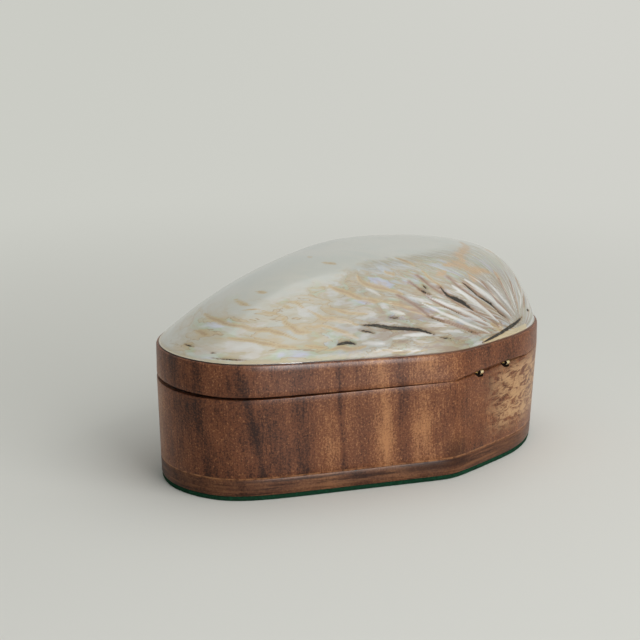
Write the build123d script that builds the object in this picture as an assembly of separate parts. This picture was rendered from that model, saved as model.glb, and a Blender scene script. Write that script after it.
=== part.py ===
from build123d import *
import math
import os

# Hinged keepsake box: a drafted wooden wall on a sliced bottom board, and a wooden lid frame that
# carries one whole pearl shell. Millimetres. X runs along the hinge axis, +Y is the hinge side,
# +Z is up, and Z = 0 is the underside of the base felt. The origin is the middle of the oval.

# Plan outline at the seam: a turned oval with two planed flats, all measured from the origin
OVAL_HALF_LENGTH = 81.3
OVAL_HALF_WIDTH = 52.6
OVAL_TURN = -15.0
SIDE_FLAT_DISTANCE = OVAL_HALF_WIDTH - 5.6
SIDE_FLAT_BEARING = 58.5
HINGE_FLAT_DISTANCE = OVAL_HALF_WIDTH + 1.1
HINGE_FLAT_BEARING = 90.0
FLAT_SHARPNESS = 60
OUTLINE_SPANS = 12
SPAN_STEPS = 8
BEARING_STEP = 0.001

# Heights
FELT_THICKNESS = 1.8
BOARD_TOP = 8.0
SEAM_HEIGHT = 38.2

# Draft of the body: how far the outline has drawn in and moved at Z = 0
DRAFT_INSET = 1.7
DRAFT_SHIFT = 0.7
FELT_SETBACK = 0.3

# Compartment
WALL_THICKNESS = 9.0
HINGE_WALL_EXTRA = 4.6
LINING_THICKNESS = 1.2
LINING_CLEARANCE = 0.5

# Lid: its underside stands a little open, and its top rises toward +X
LID_REST_ANGLE = 1.1
LID_GAP_AT_HINGE = 0.15
LID_FRAME_HEIGHT = 10.6
MARGIN_HEIGHT = SEAM_HEIGHT + LID_FRAME_HEIGHT
MARGIN_ANGLE = 2.06
MARGIN_SLOPE = math.tan(math.radians(MARGIN_ANGLE))
LID_BLANK_FOOT = 2.0
RIM_ROUNDING = 0.7
BEDDING_THICKNESS = 0.4

# Pearl shell: level lines are the outline shrunk towards the summit
SHELL_SETBACK = 0.8
SHELL_RISE = 29.2
SUMMIT_X = -20.0
SUMMIT_Y = -6.0
FULLNESS = 4.25
FULLNESS_SWING = 2.1
FULLEST_BEARING = 150.0
SHELL_THICKNESS = 2.4
MARGIN_WIDTH = 3.6
SUMMIT_SHARE = 0.3
DOME_RINGS = 10
DOME_RING_CROWDING = 1.3

# Barrel hinges: brass cylinders let into drilled holes, with a pinned knuckle on the seam
V_CUT_DEPTH = 1.9
PIN_AXIS_Y = HINGE_FLAT_DISTANCE - V_CUT_DEPTH
V_CUT_ANGLE = 47.0
V_CUT_HALF_LENGTH = 60.0
V_CUT_REACH = 12.0
BARREL_DIAMETER = 8.0
BARREL_SETBACK = 3.4
BARREL_AXIS_Y = PIN_AXIS_Y - BARREL_SETBACK
MID_HINGE_X = -11.4
END_HINGE_X = -28.4
BODY_BARREL_LENGTH = 10.0
LID_BARREL_LENGTH = 7.4
BARREL_FACE_GAP = 0.05
BARREL_CUT_ANGLE = 60.0
KNUCKLE_DIAMETER = 1.5
KNUCKLE_CLEARANCE = 0.12
TONGUE_WIDTH = 1.5
CHEEK_THICKNESS = 0.5
CHEEK_SIDE_CLEARANCE = 0.05
PIN_DIAMETER = 0.8
PIN_RUNNING_CLEARANCE = 0.04

# Blanks that the shapes are cut from reach past everything
BLANK_TOP = 100.0
BLANK_SIZE = 400.0


def outline_radius(bearing, inset, hinge_inset):
    """Distance from the origin to the outline drawn in by an inset, at a bearing in radians."""
    turned = bearing - math.radians(OVAL_TURN)
    oval = math.hypot(
        math.cos(turned) / (OVAL_HALF_LENGTH - inset),
        math.sin(turned) / (OVAL_HALF_WIDTH - inset),
    )
    total = oval**FLAT_SHARPNESS
    flats = (
        (SIDE_FLAT_DISTANCE - inset, SIDE_FLAT_BEARING),
        (HINGE_FLAT_DISTANCE - hinge_inset, HINGE_FLAT_BEARING),
    )
    for distance, flat_bearing in flats:
        facing = math.cos(bearing - math.radians(flat_bearing))
        if facing > 0:
            total += (facing / distance) ** FLAT_SHARPNESS
    return total ** (-1 / FLAT_SHARPNESS)


def closed_wire(place):
    """Smooth closed wire through the places that a function gives for bearings all round."""
    edges = []
    for span in range(OUTLINE_SPANS):
        first = 2 * math.pi * span / OUTLINE_SPANS
        last = 2 * math.pi * (span + 1) / OUTLINE_SPANS
        points = [place(first + (last - first) * step / SPAN_STEPS) for step in range(SPAN_STEPS + 1)]
        tangents = [place(end + BEARING_STEP) - place(end - BEARING_STEP) for end in (first, last)]
        edges.append(Edge.make_spline(points, tangents=tangents))
    return Wire(edges)


def outline_face(height, inset, hinge_inset=None, shift=0.0):
    """Horizontal face inside the outline at a height, moved along X by the shift."""
    hinge_inset = inset if hinge_inset is None else hinge_inset

    def place(bearing):
        radius = outline_radius(bearing, inset, hinge_inset)
        return Vector(radius * math.cos(bearing) + shift, radius * math.sin(bearing), height)

    return Face(closed_wire(place))


def drafted_face(height, setback=0.0):
    """Outline of the drafted body at a height below the seam."""
    drawn = 1 - height / SEAM_HEIGHT
    return outline_face(height, DRAFT_INSET * drawn + setback, shift=DRAFT_SHIFT * drawn)


def drafted_block(bottom, top, setback=0.0):
    """Solid slice of the body between two heights."""
    return Solid.make_loft(
        [drafted_face(bottom, setback).outer_wire(), drafted_face(top, setback).outer_wire()],
        ruled=True,
    )


def compartment_prism(bottom, top, clearance=0.0):
    """Upright prism of the hollow, or of what lies in it with a clearance."""
    inset = WALL_THICKNESS + clearance
    face = outline_face(bottom, inset, inset + HINGE_WALL_EXTRA)
    return extrude(face, amount=top - bottom, dir=(0, 0, 1))


def below_plane(plane):
    """Large block that fills the space under a plane."""
    return plane * Pos(0, 0, -BLANK_SIZE / 2) * Box(BLANK_SIZE, BLANK_SIZE, BLANK_SIZE)


def margin_plane(drop=0.0):
    """Plane of the shell's ground margin, lowered by a drop."""
    normal = (-MARGIN_SLOPE, 0, 1)
    return Plane(origin=(0, 0, MARGIN_HEIGHT - drop), x_dir=(1, 0, MARGIN_SLOPE), z_dir=normal)


def lid_underside_plane():
    """Plane of the lid's underside, which stands open away from the hinge."""
    lean = math.radians(LID_REST_ANGLE)
    origin = (0, PIN_AXIS_Y, SEAM_HEIGHT + LID_GAP_AT_HINGE)
    return Plane(origin=origin, x_dir=(1, 0, 0), z_dir=(0, math.sin(lean), math.cos(lean)))


def seam_wedge(angle, upward):
    """Wedge outside the pin axis that one half of the V cut takes away."""
    drop = V_CUT_REACH * math.tan(math.radians(angle)) * (1 if upward else -1)
    corners = [
        (PIN_AXIS_Y, SEAM_HEIGHT),
        (PIN_AXIS_Y + V_CUT_REACH, SEAM_HEIGHT),
        (PIN_AXIS_Y + V_CUT_REACH, SEAM_HEIGHT + drop),
    ]
    points = [Vector(-V_CUT_HALF_LENGTH, y, z) for y, z in corners]
    face = Face(Wire.make_polygon(points, close=True))
    return extrude(face, amount=2 * V_CUT_HALF_LENGTH, dir=(1, 0, 0))


def upright_cylinder(diameter, x, bottom, top):
    """Cylinder on a hinge's barrel axis between two heights."""
    middle = (bottom + top) / 2
    return Pos(x, BARREL_AXIS_Y, middle) * Cylinder(diameter / 2, top - bottom)


def pin_line_cylinder(diameter, x_from, x_to):
    """Cylinder on the pin axis between two places along it."""
    turn = Rot(0, 90, 0)
    place = Pos((x_from + x_to) / 2, PIN_AXIS_Y, SEAM_HEIGHT)
    return place * turn * Cylinder(diameter / 2, x_to - x_from)


def base_felt():
    """Felt glued under the bottom board."""
    return drafted_block(0, FELT_THICKNESS, FELT_SETBACK)


def bottom_board():
    """Slice sawn off the block and glued back under the hollowed wall."""
    return drafted_block(FELT_THICKNESS, BOARD_TOP)


def body_wall():
    """Hollowed wall with the barrel holes and the lower half of the V cut."""
    wall = drafted_block(BOARD_TOP, SEAM_HEIGHT) - compartment_prism(BOARD_TOP, SEAM_HEIGHT)
    for x in (MID_HINGE_X, END_HINGE_X):
        wall -= upright_cylinder(BARREL_DIAMETER, x, SEAM_HEIGHT - BODY_BARREL_LENGTH, BLANK_TOP)
    return wall - seam_wedge(V_CUT_ANGLE, upward=False)


def compartment_lining():
    """Felt pad glued on the floor of the compartment."""
    return compartment_prism(BOARD_TOP, BOARD_TOP + LINING_THICKNESS, LINING_CLEARANCE)


def lid_frame():
    """Ring cut from the same block, level with the wall outside, with its barrel holes."""
    floor = SEAM_HEIGHT - LID_BLANK_FOOT
    block = extrude(outline_face(floor, 0.0), amount=BLANK_TOP - floor, dir=(0, 0, 1))
    block = block & below_plane(margin_plane(BEDDING_THICKNESS))
    rim = block.faces().sort_by(Axis.Z)[-1].edges()
    block = block.fillet(RIM_ROUNDING, rim)
    block = block - below_plane(lid_underside_plane())
    ring = block - compartment_prism(floor, BLANK_TOP)
    for x in (MID_HINGE_X, END_HINGE_X):
        hole_top = SEAM_HEIGHT + BARREL_FACE_GAP + LID_BARREL_LENGTH
        ring -= upright_cylinder(BARREL_DIAMETER, x, floor, hole_top)
    return ring - seam_wedge(V_CUT_ANGLE, upward=True)


def shell_bedding():
    """Thin resin bed between the frame's top and the shell's ground margin."""
    foot = SEAM_HEIGHT
    outer = extrude(outline_face(foot, SHELL_SETBACK), amount=BLANK_TOP - foot, dir=(0, 0, 1))
    inner_face = outline_face(foot, SHELL_SETBACK + MARGIN_WIDTH)
    inner = extrude(inner_face, amount=BLANK_TOP - foot, dir=(0, 0, 1))
    slab = below_plane(margin_plane()) - below_plane(margin_plane(BEDDING_THICKNESS))
    return (outer - inner) & slab


def dome_ring(share, inset, rise):
    """Level line of the dome, where its mean share of the outline is the given one."""
    level = rise * (1 - share**FULLNESS)

    def place(bearing):
        swing = math.cos(bearing - math.radians(FULLEST_BEARING))
        own_share = (1 - level / rise) ** (1 / (FULLNESS + FULLNESS_SWING * swing))
        radius = own_share * outline_radius(bearing, inset, inset)
        x = SUMMIT_X * (1 - own_share) + radius * math.cos(bearing)
        y = SUMMIT_Y * (1 - own_share) + radius * math.sin(bearing)
        return Vector(x, y, MARGIN_HEIGHT + MARGIN_SLOPE * x + level)

    return closed_wire(place)


def dome_solid(inset, rise):
    """Solid over the margin plane, lofted through level lines up to a small flat summit."""
    rings = []
    for step in range(DOME_RINGS):
        drawn = (step / (DOME_RINGS - 1)) ** DOME_RING_CROWDING
        rings.append(dome_ring(1 - (1 - SUMMIT_SHARE) * drawn, inset, rise))
    return Solid.make_loft(rings)


def pearl_shell():
    """Whole valve with its margin ground flat, hollow underneath."""
    outer = dome_solid(SHELL_SETBACK, SHELL_RISE)
    inner = dome_solid(SHELL_SETBACK + MARGIN_WIDTH, SHELL_RISE - SHELL_THICKNESS)
    return outer - inner


def body_barrel(x):
    """Lower brass barrel with two cheeks that hold the pin."""
    seat = SEAM_HEIGHT - BODY_BARREL_LENGTH
    barrel = upright_cylinder(BARREL_DIAMETER, x, seat, SEAM_HEIGHT)
    barrel -= seam_wedge(BARREL_CUT_ANGLE, upward=False)
    recess = KNUCKLE_DIAMETER + 2 * KNUCKLE_CLEARANCE
    half_tongue = TONGUE_WIDTH / 2 + CHEEK_SIDE_CLEARANCE
    half_knuckle = half_tongue + CHEEK_THICKNESS
    barrel -= pin_line_cylinder(recess, x - half_tongue, x + half_tongue)
    for side in (-1, 1):
        near, far = sorted((x + side * half_tongue, x + side * half_knuckle))
        barrel += pin_line_cylinder(KNUCKLE_DIAMETER, near, far)
    return barrel - pin_line_cylinder(PIN_DIAMETER, x - half_knuckle, x + half_knuckle)


def lid_barrel(x):
    """Upper brass barrel with the tongue that turns on the pin."""
    face = SEAM_HEIGHT + BARREL_FACE_GAP
    barrel = upright_cylinder(BARREL_DIAMETER, x, face, face + LID_BARREL_LENGTH)
    barrel -= seam_wedge(BARREL_CUT_ANGLE, upward=True)
    recess = KNUCKLE_DIAMETER + 2 * KNUCKLE_CLEARANCE
    barrel -= pin_line_cylinder(recess, x - BARREL_DIAMETER / 2, x + BARREL_DIAMETER / 2)
    tongue = pin_line_cylinder(KNUCKLE_DIAMETER, x - TONGUE_WIDTH / 2, x + TONGUE_WIDTH / 2)
    barrel += tongue + tongue_web(x)
    bore = PIN_DIAMETER + 2 * PIN_RUNNING_CLEARANCE
    return barrel - pin_line_cylinder(bore, x - BARREL_DIAMETER / 2, x + BARREL_DIAMETER / 2)


def tongue_web(x):
    """Web that joins the tongue to the barrel, above the seam and inside the pin axis."""
    reach = KNUCKLE_DIAMETER / 2 + 2 * KNUCKLE_CLEARANCE
    low = SEAM_HEIGHT + BARREL_FACE_GAP
    place = Pos(x, PIN_AXIS_Y - reach / 2, low + reach / 2)
    return place * Box(TONGUE_WIDTH, reach, reach)


def hinge_pin(x):
    """Brass pin, tight in the two cheeks."""
    half = TONGUE_WIDTH / 2 + CHEEK_SIDE_CLEARANCE + CHEEK_THICKNESS
    return pin_line_cylinder(PIN_DIAMETER, x - half, x + half)


def parts():
    """Every sub-part by the name of its node."""
    made = {
        "base_felt": base_felt(),
        "bottom_board": bottom_board(),
        "body_wall": body_wall(),
        "compartment_lining": compartment_lining(),
        "lid_frame": lid_frame(),
        "shell_bedding": shell_bedding(),
        "pearl_shell": pearl_shell(),
    }
    for hinge, x in (("mid", MID_HINGE_X), ("end", END_HINGE_X)):
        made[hinge + "_hinge_body_barrel"] = body_barrel(x)
        made[hinge + "_hinge_lid_barrel"] = lid_barrel(x)
        made[hinge + "_hinge_pin"] = hinge_pin(x)
    return made


if __name__ == "__main__":
    os.makedirs("parts", exist_ok=True)
    for node, shape in parts().items():
        export_step(shape, f"parts/{node}.step")
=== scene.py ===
import math

import bpy
import numpy as np
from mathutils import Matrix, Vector, noise


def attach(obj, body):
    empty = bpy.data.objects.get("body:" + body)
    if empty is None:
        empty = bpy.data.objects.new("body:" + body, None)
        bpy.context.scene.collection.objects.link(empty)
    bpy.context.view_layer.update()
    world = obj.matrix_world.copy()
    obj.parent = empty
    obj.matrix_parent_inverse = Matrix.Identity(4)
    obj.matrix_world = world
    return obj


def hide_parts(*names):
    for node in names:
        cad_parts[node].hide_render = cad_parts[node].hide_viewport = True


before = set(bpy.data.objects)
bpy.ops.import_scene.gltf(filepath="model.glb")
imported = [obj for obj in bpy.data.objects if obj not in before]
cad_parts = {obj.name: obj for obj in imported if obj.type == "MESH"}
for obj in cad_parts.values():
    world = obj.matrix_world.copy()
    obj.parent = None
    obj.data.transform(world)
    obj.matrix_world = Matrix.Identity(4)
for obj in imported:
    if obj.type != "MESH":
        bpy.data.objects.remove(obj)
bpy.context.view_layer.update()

bl_info = {
    "name": "Keepsake Box with a Pearl Shell Lid",
    "version": (1, 0, 0),
    "blender": (4, 5, 0),
    "location": "3D View > Sidebar > Keepsake Box",
    "description": "Models a hinged wooden box whose lid is one polished pearl shell",
    "category": "Add Mesh",
}

MM = 0.001
WELD_REACH = 1e-7
FINE_STEPS = 4001

# Outline of the wood, as planed: bearings are in degrees about the middle of the oval
OVAL_TURN = -15.0
SIDE_FLAT_BEARING = 58.5
HINGE_FLAT_BEARING = 90.0
FLAT_SHARPNESS = 60
RIM_SHARPNESS = 22
SOFT_SHARPNESS = 20
CROWN_SHARPNESS = 6
CROWN_REACH = 0.4
CROWN_FILL = 1.02
FAR_CORNER = 5.0
FAR_CORNER_SPREAD = 30.0
HINGE_WALL_EXTRA = 4.6 * MM
DRAFT_INSET = 1.7 * MM
DRAFT_SHIFT = 0.7 * MM
FELT_SETBACK = 0.1 * MM
LINING_CLEARANCE = 0.5 * MM
LID_GAP_AT_HINGE = 0.15 * MM
MARGIN_SLOPE = math.tan(math.radians(2.06))
V_CUT_ANGLE = math.radians(47.0)
CREST_STEP = 0.5 * MM
BEDDING_UNEVEN = 0.12 * MM

# The shell's dome: level lines are the outline shrunk towards the summit
SUMMIT = (-20.0 * MM, -6.0 * MM)
FULLNESS = 4.25
FULLNESS_SWING = 2.1
FULLEST_BEARING = 150.0
UMBO_BEARING = 129.0
STREAK_BEND = 50.0
GROWTH_SCALE = 0.02
SWAY_SEED = 7
STREAK_SWAY = 0.9 * MM
BEVEL_WIDTH = 1.3 * MM
BEVEL_DEPTH = 0.35 * MM
EDGE_KEPT = 0.25 * MM
LIVELY_INSIDE = 0.42

# Slits: how far beyond them their mask tells the distance and how far their lip is pressed, in
# millimetres, and how much of their depth is pressed into the mesh
SLIT_MASK_REACH = 2.0
SLIT_LIP = 0.35
SLIT_PRESS = 0.75

# Hinge barrels
MID_HINGE = -11.4 * MM
HINGE_SPACING = 17.0 * MM
HINGES = {"mid_hinge": MID_HINGE, "end_hinge": MID_HINGE - HINGE_SPACING}
BARREL_DIAMETER = 8.0 * MM
BARREL_SETBACK = 3.4 * MM
BODY_BARREL_LENGTH = 10.0 * MM
LID_BARREL_LENGTH = 7.45 * MM
BARREL_SEGMENTS = 64
PIN_PLACE = (0.0, 51.8, 38.2)  # in millimetres
MOUTH_SHIFT = 0.9 * MM
MOUTH_RADIUS = 2.7 * MM
MOUTH_SETBACK = 1.2 * MM
MOUTH_HALF_HEIGHT = 1.6 * MM

# Soft boxes: name, place, height that they face, width and height, watts and what they spare
LAMPS = (
    ("Key", (0.1, 1.25, 0.85), 0.03, (1.2, 1.2), 13.0, "gloss"),
    ("Sheen", (0.1, 1.15, 1.2), 0.03, (2.6, 2.6), 10.0, "diffuse"),
    ("Window", (0.42, 1.20, 0.26), 0.03, (0.12, 0.5), 22.0, "diffuse"),
    ("Overhead", (-0.5, 0.1, 1.5), 0.0, (2.0, 2.0), 11.0, ""),
)
LENS_MM = 109.7
SENSOR_MM = 36.0
EYE_PLACE = (0.560, 0.4536, 0.2447)
EYE_AIM = (-0.7399, -0.6209, -0.2588)

# Marks on the shell: width and depth in millimetres, then the places that each runs through, as
# a bearing in degrees and hundredths of the way from the summit to the margin
SLITS = (
    # half width, depth, places
    (0.75, 1.1, 42, 88, 49, 89, 57, 91, 65, 92, 72, 93, 79, 95),
    (0.35, 0.4, 41, 90, 49, 92),
    (0.6, 0.9, 32, 94.5, 36, 94, 40, 95),
    (0.35, 0.4, 57, 87, 62, 88),
    (0.8, 1.1, 93, 79, 95, 83, 102, 87, 107, 91),
    (0.85, 1.2, 109, 80, 114, 87, 119, 91, 121, 94, 124, 96),
    (0.35, 0.5, 79, 77, 84, 81),
    (0.4, 0.5, 83, 76, 84, 78),
    (0.28, 0.5, 87, 86, 98, 91),
    (0.25, 0.4, 78, 89, 86, 92),
    (0.25, 0.3, 81, 96, 88, 97),
    (0.3, 0.3, 98, 96, 103, 97),
    (0.65, 0.9, 105, 99.6, 117, 98.8, 128, 97.8, 133, 97.2),
    (0.3, 0.3, -14, 95, -10, 95),
    (0.3, 0.3, -4, 96, -2, 96),
    (0.22, 0.3, -3, 98, 2, 98, 7, 98),
    (0.5, 0.6, 139, 96.5, 141, 97),
)
VALLEYS = (
    # width, depth, places towards the umbo
    (1.4, 0.55, 83, 69, 87, 76, 92, 82, 100, 89, 111, 95),
    (1.3, 0.65, 75, 72, 85, 84, 100, 92, 115, 98),
    (1.2, 0.5, 64, 78, 73, 84, 79, 89, 89, 93, 105, 98),
    (1.1, 0.35, 79, 89, 88, 92, 103, 97, 112, 98),
    (1.8, 1, 92, 79, 99, 86, 107, 91, 118, 97),
    (1.3, 0.7, 103, 75, 107, 83, 113, 90, 120, 97),
    (1.8, 1, 110, 81, 115, 87, 121, 93, 125, 97),
    (1.3, 0.8, 121, 83, 123, 91, 127, 96),
    (1.2, 0.75, 132, 84, 130, 91, 130, 95),
    (1.1, 0.65, 138, 87, 134, 93, 132, 96),
    (1.1, 0.55, 146, 88, 141, 94, 136, 96),
    (1.1, 0.45, 154, 88, 150, 94, 145, 97.5),
)
# Painted highlights: pale marks along the ridge crests and on bright spots of the shell, listed like the
# marks above
HIGHLIGHT_CRESTS = (
    (1.7, 0, 101, 80, 107, 87, 112, 91, 118, 96),
    (1.3, 0, 112, 79, 117, 86, 121, 91, 126, 96),
    (0.9, 0, 83, 82, 92, 87, 103, 92, 114, 97),
    (0.9, 0, 77, 84, 86, 89, 98, 94, 111, 98),
    (1, 0, 124, 83, 126, 90, 129, 96),
    (0.9, 0, 135, 86, 132, 92, 131, 95),
    (0.9, 0, 142, 88, 138, 93, 134, 95),
    (0.9, 0, 43, 69, 53, 76),
    (1.1, 0, 58, 84.5, 66, 87),
    (1.5, 0, 23, 92, 30, 92),
    (1, 0, 43, 95, 54, 96),
    (1.8, 0, -5, 86, 3, 86, 6, 85),
    (1.2, 0, -6, 89, 8, 90),
    (0.9, 0, 63, 94, 78, 95),
    (0.9, 0, 25, 83, 38, 87),
)
TAN_STREAKS = (
    (1.5, 0.12, -21, 81, -14, 81, -3, 83, 7, 85, 13, 88),
    (1.9, 0.1, -15, 89, -9, 89),
    (0.8, 0.08, -7, 74, -2, 74, 6, 77, 9, 79),
    (1.7, 0.12, 9, 80, 16, 87, 21, 88),
    (1.2, 0.08, -3, 89, 5, 90, 12, 93, 19, 94),
    (1, 0.15, 7, 85, 12, 88, 17, 91),
    (1.8, 0.3, 20, 62, 30, 69, 41, 75, 55, 80),
    (1.7, 0.3, 35, 57, 44, 67, 58, 73, 67, 78),
    (1.5, 0.3, 55, 80, 66, 83, 73, 87, 77, 89),
    (1.3, 0.15, 60, 59, 65, 65),
    (1, 0.15, 25, 77, 34, 81, 45, 84),
    (1.1, 0.2, 14, 75, 23, 82, 34, 85, 41, 88),
    (0.9, 0.15, 17, 85, 28, 87, 35, 90, 41, 93),
    (0.9, 0.08, 20, 94, 29, 95),
    (0.8, 0.05, 49, 98, 61, 99, 75, 99),
    (1.1, 0.08, 7, 69, 14, 75),
    (1.1, 0.05, -10, 63, -5, 63),
    (1.3, 0.08, -15, 69, -5, 72),
    (1.1, 0.05, 5, 72, 9, 74),
    (1.2, 0.05, -26, 31, -16, 31),
    (1.4, 0.05, 1, 35, 12, 40),
    (1.5, 0.15, 78, 43, 83, 52, 87, 60),
    (1.2, 0.15, 89, 66, 91, 75, 95, 81),
    (2.2, 0.1, 113, 96, 120, 98.5),
    (1.1, 0.1, 28, 96, 44, 96.5),
)
ORANGE_PATCHES = (
    (2.6, 0.1, 158, 55, 132, 60, 122, 69),
    (3.4, 0.1, 110, 66, 120, 68, 121, 74, 130, 79),
    (2.2, 0.1, 97, 72, 105, 71),
    (2, 0.15, 117, 77, 119, 82),
    (2.4, 0.1, 152, 70, 158, 80),
    (1.4, 0.1, 134, 80, 132, 86),
)


def srgb(red, green, blue):
    """Linear colour from the three values, 0 to 255, that a colour picker shows."""
    parts = (value / 255 for value in (red, green, blue))
    return tuple(p / 12.92 if p <= 0.04045 else ((p + 0.055) / 1.055) ** 2.4 for p in parts)


def length(name, description, millimetres):
    """Length property with a default given in millimetres."""
    return bpy.props.FloatProperty(
        name=name, description=description, default=millimetres * MM, unit="LENGTH", precision=4
    )


def colour(name, description, *values):
    """Colour property with a default given in values from 0 to 255."""
    return bpy.props.FloatVectorProperty(
        name=name, description=description, default=srgb(*values), subtype="COLOR", min=0, max=1
    )


class KeepsakeBoxSizes(bpy.types.PropertyGroup):
    """Sizes of the wooden body, the lid and the shell."""

    half_length: length("Half Length", "Half the oval's length at the seam", 81.3)
    half_width: length("Half Width", "Half the oval's width at the seam", 52.6)
    side_flat: length("Side Flat", "Distance of the planed side flat from the middle", 47.0)
    hinge_flat: length("Hinge Flat", "Distance of the planed hinge flat from the middle", 53.7)
    felt: length("Felt", "Thickness of the felt under the base", 1.8)
    board_top: length("Board Top", "Height of the bottom board's top", 8.0)
    seam: length("Seam", "Height of the body's rim", 38.2)
    wall: length("Wall", "Thickness of the wooden wall", 9.0)
    lining: length("Lining", "Thickness of the compartment's lining", 1.2)
    lid_frame: length("Lid Frame", "Height of the lid frame with its resin bed", 10.6)
    bedding: length("Bedding", "Thickness of the resin bed", 0.4)
    shell_setback: length("Shell Setback", "How far the shell stands in from the wood", 0.8)
    shell_rise: length("Shell Rise", "Height of the shell over its margin", 29.2)
    shell_thickness: length("Shell Thickness", "Thickness of the shell at its summit", 2.4)
    margin_width: length("Margin Width", "Width of the shell's ground margin", 3.6)
    v_cut: length("V Cut", "Depth of the V cut at the hinge", 1.9)
    rest_angle: bpy.props.FloatProperty(
        name="Rest Angle",
        description="How far the lid stands open at rest",
        default=math.radians(1.1),
        subtype="ANGLE",
    )


class KeepsakeBoxLook(bpy.types.PropertyGroup):
    """Colours of the box's materials and of the stage."""

    wood_dark: colour("Wood Streaks", "Darkest streaks of the wood", 46, 24, 16)
    wood_mid: colour("Wood", "Main tone of the wood", 118, 70, 45)
    wood_light: colour("Light Wood", "Lightest bands of the wood", 186, 130, 86)
    sapwood: colour("Sapwood", "Pale patch of sapwood", 196, 156, 114)
    nacre: colour("Nacre", "Main tone of the shell", 180, 180, 169)
    nacre_tan: colour("Tan Streaks", "Tan streaks in the shell", 180, 157, 112)
    nacre_orange: colour("Orange Patch", "Orange brown stains near the beak", 178, 145, 102)
    felt_green: colour("Felt", "Colour of the felt", 16, 64, 42)
    brass: colour("Brass", "Colour of the hinges", 252, 234, 190)
    resin: colour("Resin", "Dark resin under the shell", 38, 27, 20)
    floor: colour("Floor", "Colour of the floor", 219, 219, 214)


# Shape of the outline and the dome


def wrapped(angle):
    """Angle in radians as degrees from -180 to 180."""
    return np.degrees(np.angle(np.exp(1j * angle)))


def ramp(value, low, high):
    """Share from 0 where a value is low to 1 where it is high."""
    return np.clip((value - low) / (high - low), 0, 1)


def soft_ramp(value, low, high):
    """Ramp that starts and ends gently."""
    part = ramp(value, low, high)
    return part * part * (3 - 2 * part)


def outline_radius(
    sizes, bearing, inset=0.0, hinge_extra=0.0, sharpest=FLAT_SHARPNESS, softest=SOFT_SHARPNESS
):
    """Distance from the middle to the outline drawn in by an inset, at bearings in radians.

    The flats meet the oval softly at the far end, where the edge was rubbed down.
    """
    away = np.abs(wrapped(bearing - math.radians(FAR_CORNER)))
    sharpness = sharpest - (sharpest - softest) * np.exp(-((away / FAR_CORNER_SPREAD) ** 2))
    turned = bearing - math.radians(OVAL_TURN)
    unit = sizes.half_length - inset
    total = np.hypot(np.cos(turned), np.sin(turned) * unit / (sizes.half_width - inset)) ** sharpness
    for distance, flat_bearing in (
        (sizes.side_flat - inset, SIDE_FLAT_BEARING),
        (sizes.hinge_flat - inset - hinge_extra, HINGE_FLAT_BEARING),
    ):
        facing = np.maximum(np.cos(bearing - math.radians(flat_bearing)), 0)
        total = total + (unit * facing / distance) ** sharpness
    return unit * total ** (-1 / sharpness)


def dome_point(sizes, bearing, share, inner=False):
    """Place on the dome at bearings in radians and shares from summit 0 to margin 1."""
    inset = sizes.shell_setback + (sizes.margin_width if inner else 0)
    rise = sizes.shell_rise - (sizes.shell_thickness if inner else 0)
    crisp = outline_radius(sizes, bearing, inset, sharpest=RIM_SHARPNESS)
    crown = outline_radius(sizes, bearing, inset, sharpest=CROWN_SHARPNESS, softest=CROWN_SHARPNESS)
    rounder = soft_ramp(1 - share, 0, CROWN_REACH)
    radius = (crisp + (CROWN_FILL * crown - crisp) * rounder) * share
    fullness = FULLNESS + FULLNESS_SWING * np.cos(bearing - math.radians(FULLEST_BEARING))
    x = SUMMIT[0] * (1 - share) + radius * np.cos(bearing)
    y = SUMMIT[1] * (1 - share) + radius * np.sin(bearing)
    z = sizes.seam + sizes.lid_frame + MARGIN_SLOPE * x + rise * (1 - share**fullness)
    return np.stack([x, y, z], axis=-1)


def crowded_bearings(count, middle, share, spread):
    """Bearings all round, of which a share is crowded about a middle one in degrees, in radians."""
    turn = np.linspace(-math.pi, math.pi, FINE_STEPS)
    crowd = np.exp(-((turn / spread) ** 2)) / (spread * math.sqrt(math.pi))
    density = (1 - share) / (2 * math.pi) + share * crowd
    travelled = np.concatenate([[0], np.cumsum((density[1:] + density[:-1]) / 2)])
    steps = np.arange(count) / count * travelled[-1]
    return np.interp(steps, travelled, turn) + math.radians(middle)


# Rows of places round a piece, and sections made of them


def row_at(bearings, radius, height):
    """Row at radii and heights given for each bearing."""
    height = np.broadcast_to(height, bearings.shape)
    return np.stack([radius * np.cos(bearings), radius * np.sin(bearings), height], axis=-1)


def margin_row(bearings, radius, level):
    """Row on a plane that slopes as the shell's margin does."""
    return row_at(bearings, radius, level + MARGIN_SLOPE * radius * np.cos(bearings))


def drafted_row(sizes, bearings, height, inset=0.0):
    """Row on the drafted body at a height, set in from its outline."""
    drawn = 1 - height / sizes.seam
    row = row_at(bearings, outline_radius(sizes, bearings, DRAFT_INSET * drawn) - inset, height)
    row[:, 0] += DRAFT_SHIFT * drawn
    return row


def rim_lines(sizes):
    """Bearings, and for each the wood's radius outside, at the V cut's crest and inside.

    The last of the five is how deep the V cut goes in at the seam.
    """
    bearings = crowded_bearings(420, middle=100, share=0.3, spread=0.9)
    pin_y = sizes.hinge_flat - sizes.v_cut
    outer = outline_radius(sizes, bearings)
    depth = np.maximum(outer * np.sin(bearings) - pin_y, 0)
    crest = np.where(depth > 0, pin_y / np.maximum(np.sin(bearings), 1e-6), outer)
    crest = crest - CREST_STEP * (depth < CREST_STEP)
    inner = outline_radius(sizes, bearings, sizes.wall, HINGE_WALL_EXTRA)
    return bearings, outer, crest, inner, depth


def between(first, last, steps):
    """Rows evenly spaced after the first row and before the last one."""
    return [first + (last - first) * step / steps for step in range(1, steps)]


def eased(before, corner, after, reach):
    """Three rows that round the edge at a corner row, on the way to the rows before and after."""

    def towards(other):
        way = other - corner
        long = np.linalg.norm(way, axis=-1, keepdims=True)
        return way / np.maximum(long, 1e-9) * np.minimum(long * 0.4, reach)

    start, end = towards(before), towards(after)
    return [corner + start, corner + 0.3 * (start + end), corner + end]


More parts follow.
